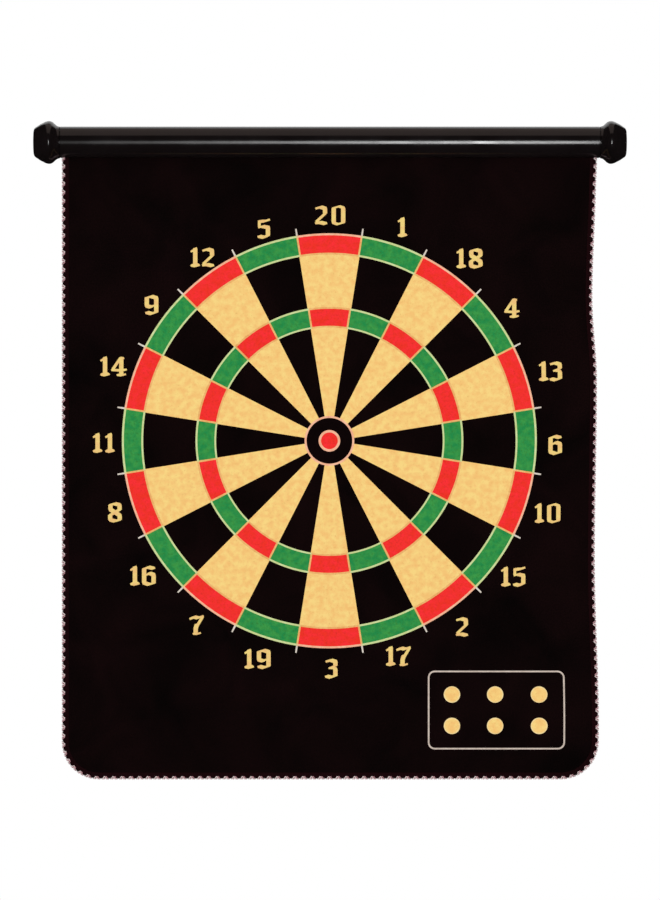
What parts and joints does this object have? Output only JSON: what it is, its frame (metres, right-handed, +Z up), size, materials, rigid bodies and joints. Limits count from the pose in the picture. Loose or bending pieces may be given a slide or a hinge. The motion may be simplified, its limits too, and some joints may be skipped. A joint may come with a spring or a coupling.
{
  "type": "magnetic dartboard",
  "caption": "Roll-up magnetic dartboard: a printed, flocked magnetic mat with bound edges that hangs from a slotted rail with turned end caps and rolls up around it.",
  "frame": {"origin": "middle of the rail's axis, where the rail is held up", "axes": "+X along the rail, +Z up, the printed target faces -Y"},
  "size_m": [0.412, 0.0298, 0.4559],
  "materials": {
    "rail_plastic": "glossy black moulded plastic",
    "spline_plastic": "plain extruded plastic",
    "front_flock": "black flock with a printed target",
    "magnetic_rubber": "calendered magnetic rubber sheet",
    "back_flock": "black flock",
    "edge_thread": "overlocked thread"
  },
  "bodies": {
    "rail": {"rail_tube": "rail_plastic", "mat_spline": "spline_plastic", "end_cap_left": "rail_plastic", "end_cap_right": "rail_plastic", "front_flock_header": "front_flock", "magnetic_core_header": "magnetic_rubber", "back_flock_header": "back_flock", "edging_left_header": "edge_thread", "edging_right_header": "edge_thread"},
    "mat_band_1": {"front_flock_1": "front_flock", "magnetic_core_1": "magnetic_rubber", "back_flock_1": "back_flock", "edging_left_1": "edge_thread", "edging_right_1": "edge_thread"},
    "mat_band_2": {"front_flock_2": "front_flock", "magnetic_core_2": "magnetic_rubber", "back_flock_2": "back_flock", "edging_left_2": "edge_thread", "edging_right_2": "edge_thread"},
    "mat_band_3": {"front_flock_3": "front_flock", "magnetic_core_3": "magnetic_rubber", "back_flock_3": "back_flock", "edging_left_3": "edge_thread", "edging_right_3": "edge_thread"},
    "mat_band_4": {"front_flock_4": "front_flock", "magnetic_core_4": "magnetic_rubber", "back_flock_4": "back_flock", "edging_left_4": "edge_thread", "edging_right_4": "edge_thread"},
    "mat_band_5": {"front_flock_5": "front_flock", "magnetic_core_5": "magnetic_rubber", "back_flock_5": "back_flock", "edging_left_5": "edge_thread", "edging_right_5": "edge_thread"},
    "mat_band_6": {"front_flock_6": "front_flock", "magnetic_core_6": "magnetic_rubber", "back_flock_6": "back_flock", "edging_left_6": "edge_thread", "edging_right_6": "edge_thread"},
    "mat_band_7": {"front_flock_7": "front_flock", "magnetic_core_7": "magnetic_rubber", "back_flock_7": "back_flock", "edging_left_7": "edge_thread", "edging_right_7": "edge_thread"},
    "mat_band_8": {"front_flock_8": "front_flock", "magnetic_core_8": "magnetic_rubber", "back_flock_8": "back_flock", "edging_left_8": "edge_thread", "edging_right_8": "edge_thread"},
    "mat_band_9": {"front_flock_9": "front_flock", "magnetic_core_9": "magnetic_rubber", "back_flock_9": "back_flock", "edging_bottom": "edge_thread"}
  },
  "joints": [
    {"name": "mat_roll", "type": "hinge", "parent": "rail", "child": "mat_band_1", "pos_m": [0, 0, -0.015], "axis": [-1, 0, 0], "range_deg": [0, 103]},
    {"name": "mat_flex_2", "type": "hinge", "parent": "mat_band_1", "child": "mat_band_2", "pos_m": [0, 0, -0.06233], "axis": [-1, 0, 0], "range_deg": [0, 79.9]},
    {"name": "mat_flex_3", "type": "hinge", "parent": "mat_band_2", "child": "mat_band_3", "pos_m": [0, 0, -0.10967], "axis": [-1, 0, 0], "range_deg": [0, 75.6]},
    {"name": "mat_flex_4", "type": "hinge", "parent": "mat_band_3", "child": "mat_band_4", "pos_m": [0, 0, -0.157], "axis": [-1, 0, 0], "range_deg": [0, 71.6]},
    {"name": "mat_flex_5", "type": "hinge", "parent": "mat_band_4", "child": "mat_band_5", "pos_m": [0, 0, -0.20433], "axis": [-1, 0, 0], "range_deg": [0, 67.9]},
    {"name": "mat_flex_6", "type": "hinge", "parent": "mat_band_5", "child": "mat_band_6", "pos_m": [0, 0, -0.25167], "axis": [-1, 0, 0], "range_deg": [0, 64.4]},
    {"name": "mat_flex_7", "type": "hinge", "parent": "mat_band_6", "child": "mat_band_7", "pos_m": [0, 0, -0.299], "axis": [-1, 0, 0], "range_deg": [0, 61.2]},
    {"name": "mat_flex_8", "type": "hinge", "parent": "mat_band_7", "child": "mat_band_8", "pos_m": [0, 0, -0.34633], "axis": [-1, 0, 0], "range_deg": [0, 58.3]},
    {"name": "mat_flex_9", "type": "hinge", "parent": "mat_band_8", "child": "mat_band_9", "pos_m": [0, 0, -0.39367], "axis": [-1, 0, 0], "range_deg": [0, 55.6]}
  ],
  "couplings": [
    {"joint": "mat_flex_2", "follows": "mat_roll", "ratio": 0.7748},
    {"joint": "mat_flex_3", "follows": "mat_roll", "ratio": 0.733},
    {"joint": "mat_flex_4", "follows": "mat_roll", "ratio": 0.6942},
    {"joint": "mat_flex_5", "follows": "mat_roll", "ratio": 0.6583},
    {"joint": "mat_flex_6", "follows": "mat_roll", "ratio": 0.6243},
    {"joint": "mat_flex_7", "follows": "mat_roll", "ratio": 0.5932},
    {"joint": "mat_flex_8", "follows": "mat_roll", "ratio": 0.565},
    {"joint": "mat_flex_9", "follows": "mat_roll", "ratio": 0.5388}
  ]
}
